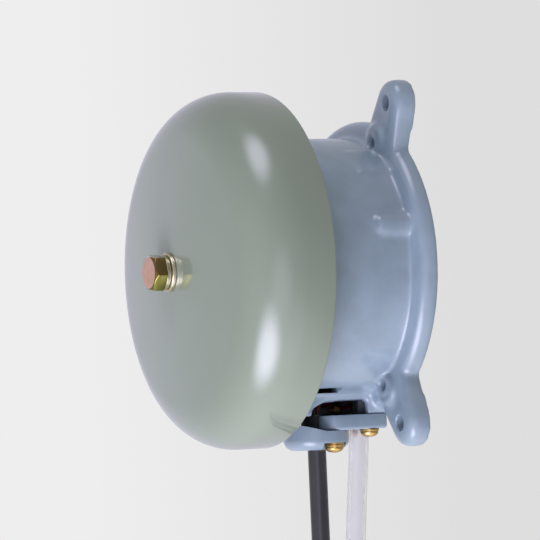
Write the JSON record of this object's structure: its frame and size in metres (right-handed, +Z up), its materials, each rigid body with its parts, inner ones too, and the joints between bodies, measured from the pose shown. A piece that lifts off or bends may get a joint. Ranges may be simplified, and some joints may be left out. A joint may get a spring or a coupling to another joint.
{
  "type": "wall-mounted electric gong bell",
  "caption": "Electric gong bell: domed gong over a round cast housing with lugs, an interrupter magnet and striker inside, and a cable and clear tube hanging from its gland.",
  "frame": {"origin": "centre of the three-lug mounting circle, on the wall plane", "axes": "+X right, +Z up, +Y into the wall; the gong faces -Y"},
  "size_m": [0.162, 0.1036, 0.4158],
  "materials": {
    "gong_enamel": "gloss enamel",
    "housing_paint": "satin hammered paint over a casting",
    "plate_steel": "zinc plated",
    "yellow_zinc": "yellow passivated zinc",
    "soft_iron": "bare",
    "spring_steel": "polished",
    "brass": "machined",
    "silver_contact": "bright",
    "winding_wire": "enamelled copper wire",
    "bare_copper": "bare stranded copper",
    "bobbin_plastic": "moulded",
    "bakelite": "moulded",
    "black_rubber": "matt",
    "cable_sheath": "satin",
    "clear_vinyl": "clear tube",
    "red_insulation": "satin",
    "blue_insulation": "satin"
  },
  "bodies": {
    "bell_body": {"gong": "gong_enamel", "housing": "housing_paint", "gland_plate": "housing_paint", "cable_cap": "housing_paint", "back_cover": "plate_steel", "mechanism_frame": "plate_steel", "gong_post": "plate_steel", "gong_seat_washer": "plate_steel", "back_cover_screws": "plate_steel", "frame_screws": "plate_steel", "post_nut": "plate_steel", "gong_bolt": "yellow_zinc", "spring_washer": "yellow_zinc", "flat_washer": "yellow_zinc", "magnet_yoke": "soft_iron", "magnet_cores": "soft_iron", "return_spring": "spring_steel", "spring_guide": "spring_steel", "hinge_pin": "spring_steel", "gland_plate_screws": "brass", "cable_cap_screws": "brass", "terminal_screws": "brass", "contact_bracket": "brass", "contact_screw": "brass", "contact_locknut": "brass", "coil_windings": "winding_wire", "core_wires": "bare_copper", "coil_bobbins": "bobbin_plastic", "contact_block": "bakelite", "terminal_block": "bakelite", "back_gasket": "black_rubber", "striker_boot": "black_rubber", "cable_packing": "black_rubber", "supply_cable": "cable_sheath", "clear_tube": "clear_vinyl", "feed_lead": "red_insulation", "cable_conductors": "red_insulation", "cable_cores": "red_insulation", "breaker_lead": "blue_insulation"},
    "striker": {"armature": "soft_iron", "striker_rod": "spring_steel", "striker_head": "brass", "contact_leaf": "brass", "contact_tip": "silver_contact", "leaf_rivets": "brass"}
  },
  "joints": [
    {"name": "armature_hinge", "type": "hinge", "parent": "bell_body", "child": "striker", "pos_m": [0, -0.038, 0.036], "axis": [-1, 0, 0], "range_deg": [0, 3], "stiffness_Nm_per_rad": 0.3, "springref_deg": -2.86, "deforming": ["return_spring"]}
  ]
}
